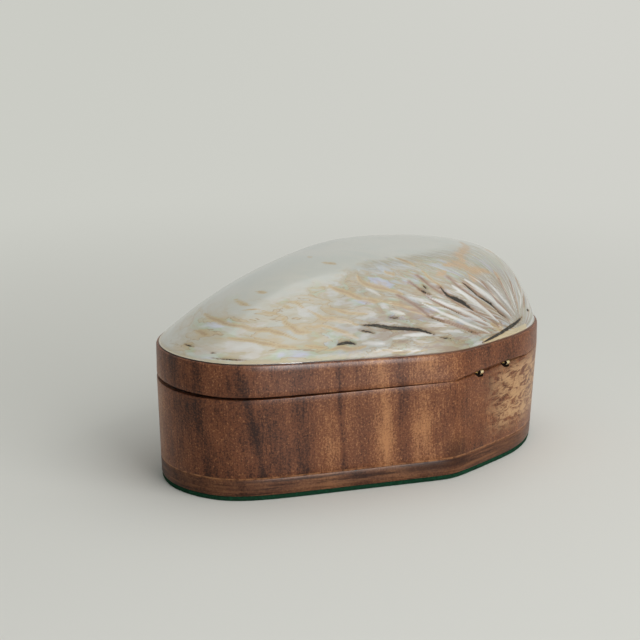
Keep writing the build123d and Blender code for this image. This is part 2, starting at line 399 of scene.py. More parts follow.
def ring_section(corners, reaches, steps):
    """Closed section through corner rows, with an eased edge at each and steps between them."""
    rows = []
    count = len(corners)
    for index, corner in enumerate(corners):
        after = corners[(index + 1) % count]
        rows += eased(corners[index - 1], corner, after, reaches[index])
        following = eased(corner, after, corners[(index + 2) % count], reaches[(index + 1) % count])
        rows += between(rows[-1], following[0], steps[index])
    return rows


def slab_section(low, high, reach, rings):
    """Rows of a flat slab from near its middle below, round its edge, to near its middle above."""
    inner_low, inner_high = (row * [0.5, 0.5, 1] for row in (low, high))
    edge = eased(inner_low, low, high, reach)
    edge += between(low, high, 3) + eased(low, high, inner_high, reach)
    shares = np.linspace(0, 1, rings + 2)[1:-1]
    below = [edge[0] * [share, share, 1] for share in shares]
    return below + edge + [edge[-1] * [share, share, 1] for share in shares[::-1]]


# Mesh helpers


def deselect():
    """Leaves nothing selected and nothing in edit mode."""
    if bpy.context.object and bpy.context.object.mode != "OBJECT":
        bpy.ops.object.mode_set(mode="OBJECT")
    bpy.ops.object.select_all(action="DESELECT")


def pick(piece):
    """Selects one piece alone."""
    deselect()
    piece.select_set(True)
    bpy.context.view_layer.objects.active = piece


def read_points(mesh, of="co"):
    """Places or normals of a mesh's vertices as an array."""
    points = np.empty(len(mesh.vertices) * 3)
    mesh.vertices.foreach_get(of, points)
    return points.reshape(-1, 3)


def write_points(mesh, points):
    """Puts the vertices of a mesh at the places of an array."""
    mesh.vertices.foreach_set("co", np.ascontiguousarray(points, dtype=float).ravel())
    mesh.update()


def name_added(name):
    """Names the piece that was just added, and gives it with its vertices' places."""
    piece = bpy.context.object
    piece.name = piece.data.name = name
    return piece, read_points(piece.data)


def face_outwards(piece, weld=False):
    """Turns every face of a closed piece outwards, after welding vertices in one place."""
    pick(piece)
    bpy.ops.object.mode_set(mode="EDIT")
    bpy.ops.mesh.select_all(action="SELECT")
    if weld:
        bpy.ops.mesh.remove_doubles(threshold=WELD_REACH)
    bpy.ops.mesh.normals_make_consistent(inside=False)
    bpy.ops.object.mode_set(mode="OBJECT")


def start_ring(name, bearings, corners, reaches, steps):
    """Adds a torus and places its rings, one for each bearing, along a section through corners."""
    rows = ring_section(corners, reaches, steps)
    deselect()
    bpy.ops.mesh.primitive_torus_add(
        major_segments=len(bearings), minor_segments=len(rows), major_radius=1, minor_radius=0.25
    )
    piece, points = name_added(name)
    around = np.arctan2(points[:, 1], points[:, 0])
    spoke = np.round(around / (2 * math.pi) * len(bearings)).astype(int) % len(bearings)
    lean = np.arctan2(points[:, 2], np.hypot(points[:, 0], points[:, 1]) - 1)
    row = np.round(lean / (2 * math.pi) * len(rows)).astype(int) % len(rows)
    write_points(piece.data, np.stack(rows)[row, spoke])
    face_outwards(piece)
    return piece


def start_ball(name, bearings, rows, foot, top):
    """Adds a grid and wraps it into a closed piece, along the rows from its foot to its top."""
    deselect()
    around, steps = len(bearings), len(rows) + 1
    bpy.ops.mesh.primitive_grid_add(x_subdivisions=around, y_subdivisions=steps, size=2)
    piece, points = name_added(name)
    spoke = np.round((points[:, 0] + 1) / 2 * around).astype(int) % around
    step = np.round((points[:, 1] + 1) / 2 * steps).astype(int)
    placed = np.stack(rows)[np.clip(step - 1, 0, len(rows) - 1), spoke]
    placed[step == 0] = foot
    placed[step == steps] = top
    write_points(piece.data, placed)
    face_outwards(piece, weld=True)
    return piece


def start_slab(name, bearings, low, high, reach, rings):
    """Adds a flat slab between two level rows."""
    rows = slab_section(low, high, reach, rings)
    return start_ball(name, bearings, rows, (0, 0, low[0, 2]), (0, 0, high[0, 2]))


def roughen(piece, amount):
    """Draws the edge of a felt in here and there, as scissors leave it."""
    points = read_points(piece.data)
    for index, point in enumerate(points):
        draw = 0.5 + 0.5 * noise.fractal(Vector(point) / MM * 0.9, 0.8, 2.0, 4)
        out = Vector((point[0], point[1], 0)).normalized()
        points[index] = Vector(point) - out * amount * min(max(draw, 0), 1)
    write_points(piece.data, points)


def upright_cutter(x, y, radius, bottom, top):
    """Upright cylinder between two heights."""
    deselect()
    bpy.ops.mesh.primitive_cylinder_add(
        vertices=BARREL_SEGMENTS, radius=radius, depth=top - bottom, location=(x, y, (top + bottom) / 2)
    )
    return bpy.context.object


def drill_hinges(piece, sizes, bottom, top):
    """Takes the barrels' holes, between two heights, and their worn mouths out of a piece."""
    pin_y = sizes.hinge_flat - sizes.v_cut
    low, high = sizes.seam - MOUTH_HALF_HEIGHT, sizes.seam + MOUTH_HALF_HEIGHT
    cutters = []
    for x in HINGES.values():
        cutters.append(upright_cutter(x, pin_y - BARREL_SETBACK, BARREL_DIAMETER / 2, bottom, top))
        cutters.append(upright_cutter(x + MOUTH_SHIFT, pin_y - MOUTH_SETBACK, MOUTH_RADIUS, low, high))
    bpy.context.view_layer.objects.active = piece
    for cutter in cutters:
        cut = piece.modifiers.new("Drill", "BOOLEAN")
        cut.operation = "DIFFERENCE"
        cut.solver = "EXACT"
        cut.object = cutter
        bpy.ops.object.modifier_apply(modifier=cut.name)
        bpy.data.objects.remove(cutter)


def finish_piece(piece, sharp_angle, body, slot, material, *nodes):
    """Smooths a piece but for edges sharper than an angle in degrees, and dresses it.

    It gets its material and its body; its slot is not used, and the CAD nodes that it stands for are
    hidden.
    """
    pick(piece)
    bpy.ops.object.shade_smooth_by_angle(angle=math.radians(sharp_angle))
    piece.data.materials.clear()
    piece.data.materials.append(material)
    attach(piece, body)
    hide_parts(*nodes)


# Marks on the shell


def places(points, table, bearings, shares):
    """Bearing and share of each vertex, and whether it is on the shell's outside."""
    flat = table.reshape(-1, 3).astype(np.float32).astype(float)
    keys = {tuple(np.round(place / MM, 3)): index for index, place in enumerate(flat)}
    found = np.array([keys.get(tuple(np.round(p / MM, 3)), -1) for p in points])
    outside = found >= 0
    row, spoke = np.divmod(np.maximum(found, 0), len(bearings))
    share_of = np.where(outside, shares[row], 0.0)
    outside = outside | (points[:, 2] >= table[:, :, 2].max())
    return np.where(outside, bearings[spoke], 0.0), share_of, outside


def growth_lines(turn, share_of):
    """Places across and along the streaks, which fan from the umbo and bend along the margin."""
    ahead = wrapped(np.radians(UMBO_BEARING - turn))
    inward = (1 - share_of) * STREAK_BEND
    return np.arctan2(inward, ahead), np.hypot(inward, ahead) * GROWTH_SCALE


def run_distance(sizes, points, run):
    """Distance of each vertex to a run of places on the dome, and how far along it is."""
    bearing, share = np.reshape(run, (-1, 2)).T
    last = len(bearing) - 1
    steps = np.linspace(0, last, 4 * last + 1)
    given = (np.radians(bearing), share / 100)
    line = dome_point(sizes, *(np.interp(steps, range(last + 1), values) for values in given))
    best = np.full(len(points), 1.0)
    along = np.zeros(len(points))
    for index in range(len(line) - 1):
        start, way = line[index], line[index + 1] - line[index]
        part = np.clip((points - start) @ way / (way @ way), 0, 1)
        distance = np.linalg.norm(points - start - part[:, None] * way, axis=1)
        nearer = distance < best
        best[nearer] = distance[nearer]
        along[nearer] = ((index + part) / (len(line) - 1))[nearer]
    return best, along


def slit_marks(sizes, points):
    """How far inside a slit each vertex is, in millimetres, and how deep it is pressed."""
    inside = np.full(len(points), -SLIT_MASK_REACH)
    depth = np.zeros(len(points))
    for half_width, deep, *run in SLITS:
        distance, along = run_distance(sizes, points, run)
        taper = np.sqrt(np.clip(np.sin(math.pi * np.clip(along, 0.02, 0.98)), 0, 1))
        own = half_width * taper - distance / MM
        inside = np.maximum(inside, own)
        pressed = SLIT_PRESS * deep * MM * soft_ramp(own, -SLIT_LIP, half_width)
        depth = np.maximum(depth, pressed)
    return np.minimum(inside, SLIT_MASK_REACH), depth


def soft_marks(sizes, points, marks, narrow=False):
    """Mask of soft marks, and how deep they are pressed."""
    mask, depth = np.zeros(len(points)), np.zeros(len(points))
    for width, deep, *run in marks:
        distance, along = run_distance(sizes, points, run)
        taper = 1 - 0.65 * along if narrow else 0.35 + 0.65 * np.sin(math.pi * along)
        own = np.exp(-((distance / (width * MM * taper)) ** 2))
        mask = np.maximum(mask, own)
        eased_in = np.clip(along / 0.25, 0.1, 1) if narrow else 1
        depth = np.maximum(depth, own * deep * MM * eased_in)
    return mask, depth


def swells(across, along):
    """Soft swells of the surface that run along the streaks, from 0 to 1."""
    values = np.empty(len(across))
    for index, (aside, onwards) in enumerate(zip(across, along)):
        wave = noise.noise(Vector((aside * 22.0, onwards * 3.4, 4.0)))
        wave += 0.5 * noise.noise(Vector((aside * 50.0, onwards * 6.0, 9.0)))
        values[index] = 0.5 + 0.5 * wave
    return np.clip(values, 0, 1)


# Node helpers


class Wire:
    """Output of a node, on which sums are written like sums on numbers."""

    def __init__(self, tree, socket):
        self.tree, self.socket = tree, socket

    def __add__(self, other):
        return maths("ADD", self, other)

    def __sub__(self, other):
        return maths("SUBTRACT", self, other)

    def __rsub__(self, other):
        return maths("SUBTRACT", other, self)

    def __mul__(self, other):
        return maths("MULTIPLY", self, other)

    def beside(self, output):
        """Another output of the same node."""
        return Wire(self.tree, self.socket.node.outputs[output])


def plug(tree, socket, value):
    """Feeds an input from a wire, a colour or a number."""
    if isinstance(value, Wire):
        tree.links.new(value.socket, socket)
    elif socket.type == "RGBA":
        socket.default_value = (*value, 1.0)
    else:
        socket.default_value = value


def node(kind, inputs, output=0, tree=None, **settings):
    """Adds a node to the tree that its wires come from, feeds it and gives one of its outputs."""
    tree = tree or next(value.tree for value in inputs.values() if isinstance(value, Wire))
    made = tree.nodes.new("ShaderNode" + kind)
    for name, value in settings.items():
        setattr(made, name, value)
    for name, value in inputs.items():
        plug(tree, made.inputs[name], value)
    return Wire(tree, made.outputs[output])


def maths(operation, first, second=0.0, clamp=False):
    """Result of one sum on two values."""
    return node("Math", {0: first, 1: second}, operation=operation, use_clamp=clamp)


def fade(value, low, high):
    """Mask that goes smoothly from 0 where a value is low to 1 where it is high."""
    ends = {"Value": value, "From Min": low, "From Max": high}
    return node("MapRange", ends, interpolation_type="SMOOTHSTEP")


def mixed(mask, under, over, blend="MIX"):
    """Colour over another one where a mask says."""
    return node("Mix", {0: mask, 6: under, 7: over}, 2, data_type="RGBA", blend_type=blend)


def stretched(vector, scale, turn=(0, 0, 0), shift=(0, 0, 0)):
    """Coordinates scaled along each axis, turned and shifted."""
    if not isinstance(scale, tuple):
        scale = (scale, scale, scale)
    return node("Mapping", {"Vector": vector, "Scale": scale, "Rotation": turn, "Location": shift})


def cloud(vector, scale=1.0, detail=2.0, roughness=0.5, distortion=0.0, shift=(0, 0, 0)):
    """Noise value over coordinates that are scaled along each axis."""
    given = {"Detail": detail, "Roughness": roughness, "Distortion": distortion, "Scale": 1.0}
    return node("TexNoise", {"Vector": stretched(vector, scale, shift=shift), **given})


def graded(value, stops, interpolation="LINEAR"):
    """Colour ramp through stops of place and tone, each tone a grey or a linear colour."""
    made = node("ValToRGB", {"Fac": value})
    ramp = made.socket.node.color_ramp
    ramp.interpolation = interpolation
    while len(ramp.elements) < len(stops):
        ramp.elements.new(0.5)
    for element, (place, tone) in zip(ramp.elements, stops):
        element.position = place
        element.color = (tone, tone, tone, 1) if isinstance(tone, (int, float)) else (*tone, 1)
    return made


def split(vector):
    """The three parts of a vector."""
    made = node("SeparateXYZ", {0: vector})
    return [made.beside(index) for index in range(3)]


def dot(vector, axis):
    """How far a place lies along an axis."""
    return node("VectorMath", {0: vector, 1: axis}, "Value", operation="DOT_PRODUCT")


def span(vector):
    """How long a vector is."""
    return node("VectorMath", {0: vector}, "Value", operation="LENGTH")


def seen_directly(tree):
    """1 where the camera looks, straight or in a gloss."""
    straight = node("LightPath", {}, "Is Camera Ray", tree)
    return maths("MAXIMUM", straight, straight.beside("Is Glossy Ray"))


def new_group(name, inputs, outputs, fill):
    """Shader node group whose named outputs a function makes from its named inputs."""
    group = bpy.data.node_groups.new(name, "ShaderNodeTree")
    for way, sockets in (("INPUT", inputs), ("OUTPUT", outputs)):
        for label, kind in sockets.items():
            group.interface.new_socket(label, in_out=way, socket_type="NodeSocket" + kind)
    entry = group.nodes.new("NodeGroupInput").outputs
    leave = group.nodes.new("NodeGroupOutput").inputs
    results = fill(*(Wire(group, entry[label]) for label in inputs))
    for label, result in zip(outputs, results):
        group.links.new(result.socket, leave[label])
    return group


def use_group(group, inputs):
    """Places a node group, with its own values, and gives its outputs."""
    made = node("Group", inputs, node_tree=group)
    return [made.beside(index) for index in range(len(made.socket.node.outputs))]


def new_material(name, scale=1 / MM):
    """Material of a name, and its Object coordinates, scaled to millimetres."""
    material = bpy.data.materials.new(name)
    material.use_nodes = True
    return material, stretched(node("TexCoord", {}, "Object", material.node_tree), scale)


def dressed(material, bump=(), **values):
    """Material whose shader takes the values, and its normal from a height, strength and depth."""
    tree = material.node_tree
    shader = tree.nodes["Principled BSDF"]
    for label, value in values.items():
        plug(tree, shader.inputs[label.replace("_", " ")], value)
    if bump:
        normal = node("Bump", dict(zip(("Height", "Strength", "Distance"), bump)))
        plug(tree, shader.inputs["Normal"], normal)
    return material


def shared(name, make, *given):
    """Material or group of a name, made the first time it is asked for."""
    kept = bpy.data.materials.get(name) or bpy.data.node_groups.get(name)
    return kept or make(name, *given)


# Node groups

# Bands across the block: place in millimetres along the band axis, and tone
BAND_REACH = 85.0
WOOD_BANDS = (
    (-80, 0.46), (-70, 0.62), (-63.5, 0.40), (-61.2, 0.28), (-59, 0.38), (-55.5, 0.35),
    (-53.2, 0.25), (-51, 0.36), (-46, 0.39), (-36.3, 0.32), (-33.8, 0.09), (-31, 0.30),
    (-27, 0.34), (-21.5, 0.44), (-17, 0.26), (-14.5, 0.42), (-9.5, 0.62), (-5.5, 0.54),
    (-2.8, 0.28), (-0.5, 0.50), (6, 0.46), (10, 0.64), (13.5, 0.88), (16.5, 0.60),
    (20.4, 0.33), (24, 0.60), (28.2, 0.74), (33, 0.56), (38, 0.46), (43, 0.44), (80, 0.5),
)
BAND_AXIS = (-0.643, 0.766, 0.07)
LEVEL_AXIS = (-0.643, 0.766, 0.0)
LEAN_SLOPE = 0.08
LEAN_HEIGHT = 20.0
JOINT_LINE_HEIGHT = 8.2
BOARD_TURN = (0, math.radians(84), math.radians(50))
BOARD_SHIFT = (22, 9, 4)
BOARD_TONES = ((46, 25, 17), (98, 62, 43), (140, 95, 64))


def wood_grain(place, dark, middle, light, contrast):
    """Grain, bands, fibres and pores of one block of wood, in millimetre coordinates."""
    across = dot(place, BAND_AXIS)
    leaning = fade(across, -48.0, -42.0) * fade(across, -20.0, -28.0)
    across = across + (split(place)[2] - LEAN_HEIGHT) * LEAN_SLOPE * leaning
    across = across + (cloud(place, (0.03, 0.03, 0.012)) - 0.5) * 6.0
    across = across + (cloud(place, (0.25, 0.25, 0.03), 3.0, 0.6) - 0.5) * 4.0
    stops = [((at + BAND_REACH) / (2 * BAND_REACH), tone) for at, tone in WOOD_BANDS]
    tone = graded(maths("DIVIDE", across, 2 * BAND_REACH) + 0.5, stops, "EASE")
    rings = cloud(node("CombineXYZ", {0: across * 0.55}), detail=3.0, roughness=0.65)
    fibre = cloud(place, (1.6, 1.6, 0.07), 3.0, 0.6)
    fleck = cloud(place, (1.3, 1.3, 1.4), 4.0, 0.8)
    blotch = cloud(place, (0.09, 0.09, 0.05))
    swing = (rings - 0.5) * 0.45 + (fibre - 0.5) * 0.42 + (fleck - 0.5) * 1.55
    swing = swing + (blotch - 0.5) * 0.85
    tone = maths("ADD", tone, swing * contrast, True)
    tint = mixed(fade(tone, 0.0, 0.55), dark, middle)
    tint = mixed(fade(tone, 0.5, 1.05), tint, light)
    pores = fade(cloud(place, (3.4, 3.4, 0.32), 1.0), 0.62, 0.70)
    tint = mixed(pores * 0.55, tint, dark)
    speck = cloud(place, (1.9, 1.9, 1.3), shift=(31, 7, 3))
    glint = fade(speck, 0.56, 0.68) * fade(tone, 0.2, 0.6)
    tint = mixed(glint * 0.6, tint, light)
    return tint, fibre * 0.22 + 0.27 + pores * 0.2, fibre * 0.5 - pores


def felt_fuzz(place, fibre):
    """Matted fibres of felt, in millimetre coordinates."""
    both = cloud(place, 0.9, 4.0, 0.7) * 0.5 + cloud(place, 5.0, 3.0, 0.8, 1.2) * 0.6
    tone = graded(both, ((0.3, 0.25), (0.55, 0.8), (0.8, 2.2)))
    return mixed(1.0, fibre, tone, "MULTIPLY"), both


# Materials


def wood_material(name, look, contrast, tones, board=False):
    """Lacquered wood of the block, or of the slice turned flat under it."""
    material, place = new_material(name)
    inputs = {"Place": "Vector", "Dark": "Color", "Middle": "Color", "Light": "Color", "Contrast": "Float"}
    outputs = {"Color": "Color", "Roughness": "Float", "Height": "Float"}
    group = shared("Wood Grain", new_group, inputs, outputs, wood_grain)
    dark, middle, light = tones
    along = stretched(place, 0.9, BOARD_TURN, BOARD_SHIFT) if board else place
    given = (along, dark, middle, light, contrast)
    tint, rough, relief = use_group(group, dict(zip(inputs, given)))
    height, across = split(place)[2], dot(place, BAND_AXIS)
    if board:
        streak = cloud(place, (0.05, 0.05, 1.2), 4.0, 0.65, 0.3)
        tint = mixed(fade(streak, 0.52, 0.64) * 0.75, tint, dark)
        tint = mixed(fade(streak, 0.46, 0.34) * 0.5, tint, light)
        wedge = fade(across, 8.0, 30.0) * fade(across, 45.0, 41.0) * fade(height, 3.6, 5.6)
        tint = mixed(wedge * 0.7, tint, dark)
    else:
        tint = sapwood_over(look, place, tint)
        knot = fade(across, 31.0, 39.0) * fade(across, 45.0, 41.0) * fade(height, 20.0, 10.0)
        tint = mixed(knot * 0.6, tint, dark)
    # A lighter line is painted along the joint of the board and the wall
    joint_line = maths("ABSOLUTE", height - JOINT_LINE_HEIGHT)
    joint_line = fade(joint_line, 0.6, 0.3) * fade(cloud(place, 0.5), 0.3, 0.6)
    return dressed(
        material,
        (relief, 0.35, 0.00012),
        Base_Color=mixed(joint_line * 0.6, tint, light),
        Roughness=rough,
        Coat_Weight=cloud(place, 0.06, 3.0) * (0.15 if board else 0.4) + 0.05,
        Coat_Roughness=0.34,
        Coat_IOR=1.45,
        Specular_IOR_Level=0.1,
    )


def sapwood_over(look, place, under):
    """Pale patch of flecked sapwood at the hinge side's narrow end of the body."""
    aside, _, height = split(place)
    level = fade(height, 9.0, 17.0) * fade(height, 40.5, 33.0)
    mask = fade(dot(place, LEVEL_AXIS), 47.0, 60.0) * level * fade(aside, -70.0, -50.0)
    mask = mask * fade(cloud(place, (0.2, 0.2, 0.55), 5.0, 0.72, 0.7), 0.40, 0.58)
    return mixed(mask * 0.9, under, look.sapwood)


def block_wood(look):
    """Wood of the body and the lid frame, which were one block."""
    tones = (look.wood_dark, look.wood_mid, look.wood_light)
    return shared("Block_Wood", wood_material, look, 1.0, tones)


def nacre_material(name, look):
    """Polished mother-of-pearl with tan streaks, pearly tints, dark slits, a cream margin, painted
    highlights and sheen, and painted shade in the valleys.
    """
    material, place = new_material(name)

    def kept(label):
        return node("Attribute", {}, "Vector", place.tree, attribute_name=label)

    def broken(mask, low, high, amount):
        return fade(mask + rag * amount, low, high) * fade(mask, 0.02, 0.15)

    flow = kept("growth")
    _, along, share = split(flow)
    slit, valley, lively = split(kept("dark_marks"))
    tan, orange, rim = split(kept("warm_marks"))
    crest, sliver, _ = split(kept("highlight_and_sliver_marks"))
    wide = cloud(flow, (20.0, 2.3, 0.0), 3.0, 0.55, 0.35, (3, 3, 0))
    stroke = cloud(flow, (32.0, 2.9, 0.0), 4.0, 0.55, 0.35, (41, 41, 0))
    fine = cloud(flow, (85.0, 5.0, 0.0), 4.0, 0.65, 0.3, (23, 23, 0))
    thread = cloud(flow, (46.0, 3.0, 0.0), 3.0, 0.6, 0.4, (7, 7, 0))
    rag = cloud(place, 0.8, 4.0, 0.75) - 0.5
    drift = cloud(place, (0.045, 0.045, 0.06), distortion=0.8)
    lively = fade(lively + (wide - 0.5) * 1.2, 0.1, 0.95) * fade(lively, 0.0, 0.3)
    pearly_stops = (
        (0.30, srgb(158, 165, 178)),
        (0.39, look.nacre),
        (0.46, srgb(182, 177, 160)),
        (0.51, srgb(176, 165, 140)),
        (0.56, srgb(170, 178, 152)),
        (0.63, srgb(184, 186, 202)),
        (0.70, srgb(182, 164, 150)),
    )
    pearly = graded(drift * 0.4 + wide * 0.6, pearly_stops, "EASE")
    calm = mixed(fade(drift, 0.4, 0.6), srgb(182, 185, 177), srgb(188, 188, 179))
    brushed = fade(wide, 0.42, 0.62) * fade(along, 3.3, 2.6) * fade(share, 0.2, 0.6)
    calm = mixed(brushed * 0.8, calm, srgb(194, 192, 181))
    near = fade(along, 2.3, 1.2) * fade(share, 0.75, 0.83)
    gap = slit + rag * 0.9
    layers = (
        # how much of it, where, its colour and how it is laid over what is under it
        (0.6, fade(stroke, 0.515, 0.53) * fade(stroke, 0.66, 0.54) * lively, srgb(182, 158, 116)),
        (0.55, fade(maths("ABSOLUTE", stroke - 0.524), 0.012, 0.0) * lively, srgb(138, 108, 70)),
        # painted highlight: bluish-white silky sheen between the tan strokes
        (0.35, fade(stroke, 0.46, 0.40) * fade(stroke, 0.28, 0.34) * lively, srgb(206, 208, 215)),
        (0.35, fade(fine, 0.52, 0.64) * lively, look.nacre_tan),
        # painted sheen: pale glow along the fine streaks
        (0.2, fade(fine, 0.46, 0.34) * lively, srgb(206, 205, 198)),
        (0.85, fade(along, 2.5, 1.7) * fade(lively, 0.0, 0.8), (0.74, 0.755, 0.78), "MULTIPLY"),
        (0.8, broken(tan, 0.15, 0.8, 0.9), look.nacre_tan),
        (0.5, broken(tan, 0.7, 1.0, 0.5), srgb(150, 116, 76)),
        (0.8, broken(orange, 0.1, 1.0, 1.6), look.nacre_orange),
        # pink-brown tint of the valleys, the shell's own colour, darkened at the core as painted shade in
        # the grooves
        (0.75, broken(valley, 0.25, 0.9, 0.8), srgb(152, 120, 96)),
        (0.5, broken(valley, 0.8, 1.05, 0.6), srgb(104, 80, 62)),
        (0.55, fade(thread, 0.50, 0.60) * near, srgb(140, 114, 98)),
        (0.5, fade(thread, 0.46, 0.38) * near, srgb(210, 209, 212)),
        # painted highlight along the crests
        (0.85, broken(crest, 0.25, 1.0, 0.4) * fade(along, 2.6, 0.9), srgb(212, 211, 208)),
        (0.6, broken(rim, 0.3, 1.0, 1.4), srgb(190, 174, 138)),
        (0.85, broken(sliver, 0.4, 0.9, 0.7), srgb(202, 186, 149)),
        (0.65, fade(gap, -0.4, 0.1), srgb(136, 106, 72)),
        (1.0, fade(gap, -0.05, 0.14), srgb(44, 40, 32)),
        # painted highlight: olive glints in the depth of the slits
        (0.7, fade(gap, 0.3, 0.5) * fade(stroke, 0.5, 0.58), srgb(98, 96, 76)),
    )
    tint = mixed(lively, calm, pearly)
    for amount, mask, tone, *blend in layers:
        tint = mixed(mask * amount, tint, tone, *blend)
    matt = maths("MAXIMUM", fade(slit, -1.1, -0.45), valley * 0.55)
    return dressed(
        material,
        ((stroke * 1.4 + fine * 0.5 - 0.95) * lively, 0.5, 0.0005),
        Base_Color=tint,
        Roughness=maths("ADD", fine * 0.16 + 0.26, matt * 0.5, True),
        Coat_Weight=(1.0 - matt) * 0.7,
        Coat_Roughness=0.14,
        Coat_IOR=1.6,
    )


def felt_material(name, look):
    """Green felt with matted fibres."""
    material, place = new_material(name)
    inputs, outputs = {"Place": "Vector", "Fibre": "Color"}, {"Color": "Color", "Height": "Float"}
    group = shared("Felt Fuzz", new_group, inputs, outputs, felt_fuzz)
    tint, relief = use_group(group, {"Place": place, "Fibre": look.felt_green})
    bump = (relief, 0.9, 0.0005)
    return dressed(material, bump, Base_Color=tint, Roughness=0.95, Specular_IOR_Level=0.1)


def brass_material(name, look):
    """Turned brass, polished where the knuckles rub, and darkened with painted shade in the depth of the
    barrel holes.
    """
    material, place = new_material(name)
    dull = cloud(place, 1.1, 4.0, 0.6)
    tone = mixed(fade(dull, 0.45, 0.7), look.brass, srgb(196, 160, 96))
    off_pin = node("VectorMath", {0: place, 1: PIN_PLACE}, operation="SUBTRACT")
    off_pin = span(stretched(off_pin, (0, 1, 1)))
    x, y, z = split(place)
    apart = HINGE_SPACING / MM
    aside = maths("FLOORED_MODULO", x + (apart / 2 - MID_HINGE / MM), apart) - apart / 2
    # Painted shade: near-black, rough, less metallic brass away from the pin and the knuckles, deep in the
    # holes
    hole_shade = maths("MAXIMUM", fade(off_pin, 0.82, 1.0), fade(aside, 0.1, 0.5))
    off_axis = span(node("CombineXYZ", {0: aside, 1: y - PIN_PLACE[1] + BARREL_SETBACK / MM}))
    level = maths("ABSOLUTE", z - PIN_PLACE[2])
    flat_end = fade(off_axis, 3.8, 3.6) * fade(level, 0.45, 0.3)
    hole_shade = hole_shade * (1.0 - flat_end)
    return dressed(
        material,
        (cloud(place, (0.4, 0.4, 9.0)), 0.2, 0.00005),
        Base_Color=mixed(hole_shade, tone, srgb(26, 17, 11)),
        Metallic=maths("SUBTRACT", 0.6, hole_shade, True),
        Roughness=dull * 0.25 + hole_shade * 0.7 + 0.14,
        Specular_IOR_Level=0.05,
    )


def resin_material(name, look):
    """Dark resin with a little dust in it."""
    material, place = new_material(name)
    dust = cloud(place, 2.0, 3.0)
    tone = mixed(fade(split(place)[0], 55.0, 25.0), look.resin, srgb(104, 68, 48))
    tone = mixed(fade(dust, 0.5, 0.75), tone, srgb(96, 70, 50))
    bump = (dust, 0.4, 0.0002)
    return dressed(material, bump, Base_Color=tone, Roughness=dust * 0.4 + 0.25, Coat_Weight=0.3)


def floor_material(name, look):
    """Plain pale floor, which to the camera runs out into a backdrop of the same tone, painted a little
    brighter towards the lamps' side.
    """
    material, place = new_material(name, 1)
    tone = mixed(fade(cloud(place, 0.8, 1.0), 0.35, 0.65), look.floor, srgb(212, 212, 206))
    dressed(material, Base_Color=tone, Roughness=0.9, Specular_IOR_Level=0.1)
    # The backdrop's glow is painted brighter towards the side where the lamps stand
    wall = mixed(fade(dot(place, BAND_AXIS), -0.3, 0.4), srgb(203, 204, 197), srgb(210, 210, 204))
    glow = node("Emission", {"Color": wall, "Strength": 1.0})
    plain = Wire(place.tree, place.tree.nodes["Principled BSDF"].outputs[0])
    backdrop = fade(span(place), 0.16, 0.52) * seen_directly(place.tree)
    both = node("MixShader", {0: backdrop, 1: plain, 2: glow})
    plug(place.tree, place.tree.nodes["Material Output"].inputs["Surface"], both)
    return material


# Operators


def settings(context):
    """Sizes and look of the scene."""
    return context.scene.keepsake_sizes, context.scene.keepsake_look


class KEEPSAKE_OT_body_wall(bpy.types.Operator):
    """Model the hollowed wall of the box"""

    bl_idname = "keepsake.body_wall"
    bl_label = "Body Wall"

    def execute(self, context):
        """Places the wall's section all round, cuts the V and drills the barrel holes."""
        sizes, look = settings(context)
        bearings, _, crest, inner, depth = rim_lines(sizes)
        corners = [
            drafted_row(sizes, bearings, sizes.board_top),
            drafted_row(sizes, bearings, sizes.seam - depth * math.tan(V_CUT_ANGLE)),
            row_at(bearings, crest, sizes.seam),
            row_at(bearings, inner, sizes.seam),
            row_at(bearings, inner, sizes.board_top),
        ]
        reaches = (0.25 * MM, 0.3 * MM, 0.25 * MM, 0.4 * MM, 0.1 * MM)
        piece = start_ring("Body_Wall", bearings, corners, reaches, steps=(14, 3, 3, 8, 3))
        drill_hinges(piece, sizes, sizes.seam - BODY_BARREL_LENGTH, 2 * sizes.seam)
        finish_piece(piece, 32, "box", "box_wood", block_wood(look), "body_wall")
        return {"FINISHED"}


class KEEPSAKE_OT_lid_frame(bpy.types.Operator):
    """Model the wooden frame of the lid"""

    bl_idname = "keepsake.lid_frame"
    bl_label = "Lid Frame"

    def execute(self, context):
        """Places the frame's section all round and drills the barrel holes."""
        sizes, look = settings(context)
        bearings, outer, crest, inner, depth = rim_lines(sizes)
        pin_y = sizes.hinge_flat - sizes.v_cut

        def underside(radius):
            y = np.minimum(radius * np.sin(bearings), pin_y)
            return sizes.seam + LID_GAP_AT_HINGE + math.tan(sizes.rest_angle) * (pin_y - y)

        top = sizes.seam + sizes.lid_frame - sizes.bedding
        rim = outline_radius(sizes, bearings, sharpest=RIM_SHARPNESS)
        lip = np.maximum(underside(outer), sizes.seam + depth * math.tan(V_CUT_ANGLE))
        corners = [
            row_at(bearings, outer, lip),
            margin_row(bearings, rim, top),
            margin_row(bearings, inner, top),
            row_at(bearings, inner, underside(inner)),
            row_at(bearings, crest, underside(crest)),
        ]
        reaches = (0.3 * MM, 0.7 * MM, 0.3 * MM, 0.4 * MM, 0.25 * MM)
        piece = start_ring("Lid_Frame", bearings, corners, reaches, steps=(6, 4, 5, 3, 3))
        drill_hinges(piece, sizes, sizes.seam / 2, sizes.seam + LID_BARREL_LENGTH)
        finish_piece(piece, 32, "lid", "box_wood", block_wood(look), "lid_frame")
        return {"FINISHED"}


class KEEPSAKE_OT_bottom_board(bpy.types.Operator):
    """Model the board under the wall"""

    bl_idname = "keepsake.bottom_board"
    bl_label = "Bottom Board"

    def execute(self, context):
        """Places the board's section all round."""
        sizes, look = settings(context)
        bearings = crowded_bearings(360, middle=60, share=0.2, spread=0.9)
        low, high = (drafted_row(sizes, bearings, z) for z in (sizes.felt, sizes.board_top))
        piece = start_slab("Bottom_Board", bearings, low, high, reach=0.3 * MM, rings=3)
        tones = [srgb(*tone) for tone in BOARD_TONES]
        wood = shared("Board_Wood", wood_material, look, 0.9, tones, True)
        finish_piece(piece, 40, "box", "board_wood", wood, "bottom_board")
        return {"FINISHED"}


